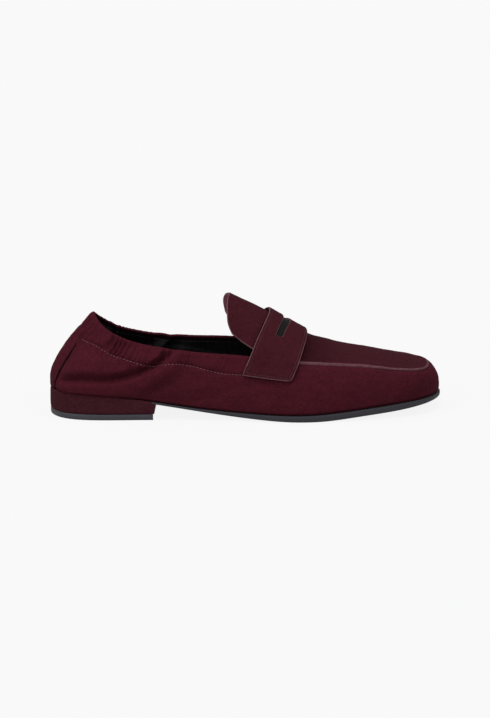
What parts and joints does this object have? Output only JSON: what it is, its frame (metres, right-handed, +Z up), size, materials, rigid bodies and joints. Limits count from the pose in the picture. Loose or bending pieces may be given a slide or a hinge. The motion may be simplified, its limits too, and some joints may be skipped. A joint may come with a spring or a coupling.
{
  "type": "penny loafer",
  "caption": "Low-heeled suede penny loafer for a right foot, with a slotted saddle strap, a short free tongue and a soft elasticated back.",
  "frame": {"origin": "on the ground under the middle of the shoe's bounding box", "axes": "+X from heel to toe, +Y towards the inner side of the foot, +Z up"},
  "size_m": [0.2608, 0.0884, 0.0783],
  "materials": {
    "rubber_black": "matt black moulded rubber",
    "heel_core": "moulded heel block, its front face painted black",
    "suede": "burgundy suede with a short nap, its raw cut edges lighter",
    "steel": "plain steel",
    "cork": "cork and foam filler",
    "board": "pressed fibre board",
    "foam": "latex foam",
    "sock": "black sock leather",
    "stiffener": "resin-stiffened cloth",
    "elastic": "woven elastic tape",
    "suede_facing": "burgundy suede band inside the topline",
    "lining_black": "thin black lining leather, matt"
  },
  "bodies": {
    "shoe": {"outsole": "rubber_black", "heel_block": "heel_core", "heel_cover": "suede", "heel_top_lift": "rubber_black", "heel_nails": "steel", "top_lift_pins": "steel", "shank": "steel", "shank_rivets": "steel", "bottom_filler": "cork", "insole_board": "board", "heel_cushion": "foam", "sock_liner": "sock", "vamp_wall": "suede", "backstay": "suede", "heel_counter": "stiffener", "toe_puff": "stiffener", "topline_elastic": "elastic", "collar_facing": "suede_facing", "quarter_lining": "lining_black", "vamp_lining": "lining_black", "apron": "suede", "apron_lining": "lining_black", "apron_welt": "suede", "saddle_strap": "suede", "strap_backing": "lining_black"},
    "tongue_flap": {"tongue": "suede", "tongue_lining": "suede_facing"}
  },
  "joints": [
    {"name": "tongue_lift", "type": "hinge", "parent": "shoe", "child": "tongue_flap", "pos_m": [0.0166, 0, 0.0638], "axis": [0, 1, 0], "range_deg": [0, 16], "stiffness_Nm_per_rad": 0.02}
  ]
}
